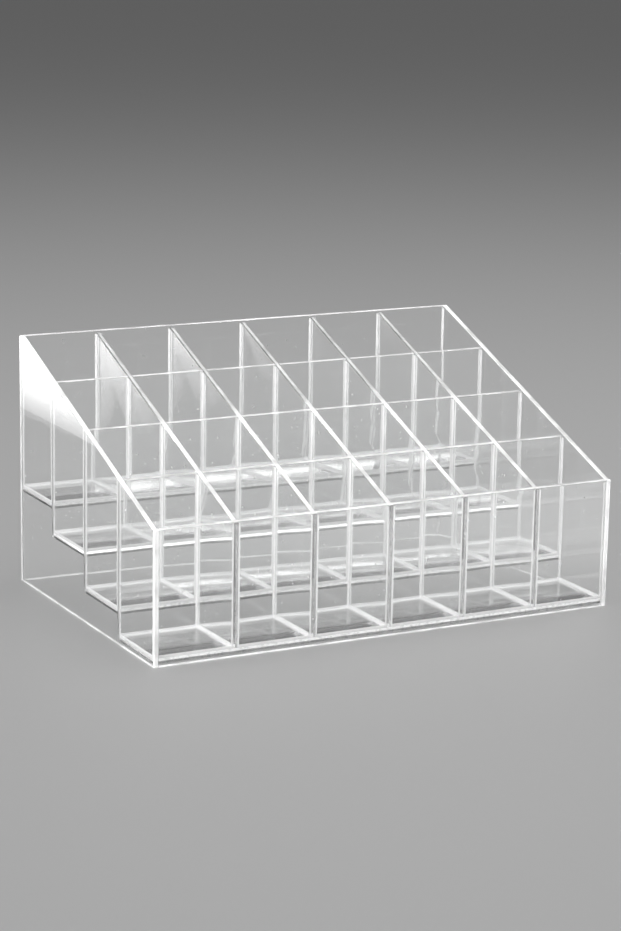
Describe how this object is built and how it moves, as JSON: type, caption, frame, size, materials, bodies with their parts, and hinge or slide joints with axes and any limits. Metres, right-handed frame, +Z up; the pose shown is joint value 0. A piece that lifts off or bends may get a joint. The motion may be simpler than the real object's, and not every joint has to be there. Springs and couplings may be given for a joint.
{
  "type": "vanity organizer",
  "caption": "Clear acrylic vanity organizer: stepped rows of open square cells for lipsticks and small tubes, with a rim that slopes from a tall back to a low front.",
  "frame": {"origin": "on the table, under the middle of the footprint", "axes": "+Z up, +X to the right of a person facing the low front, -Y towards that person"},
  "size_m": [0.15, 0.0996, 0.077],
  "materials": {
    "clear_acrylic": "clear polished acrylic sheet"
  },
  "bodies": {
    "root": {"left_side_panel": "clear_acrylic", "right_side_panel": "clear_acrylic", "back_panel": "clear_acrylic", "front_panel": "clear_acrylic", "cross_wall_1": "clear_acrylic", "cross_wall_2": "clear_acrylic", "cross_wall_3": "clear_acrylic", "shelf_1": "clear_acrylic", "shelf_2": "clear_acrylic", "shelf_3": "clear_acrylic", "shelf_4": "clear_acrylic", "divider_1": "clear_acrylic", "divider_2": "clear_acrylic", "divider_3": "clear_acrylic", "divider_4": "clear_acrylic", "divider_5": "clear_acrylic"}
  },
  "joints": []
}
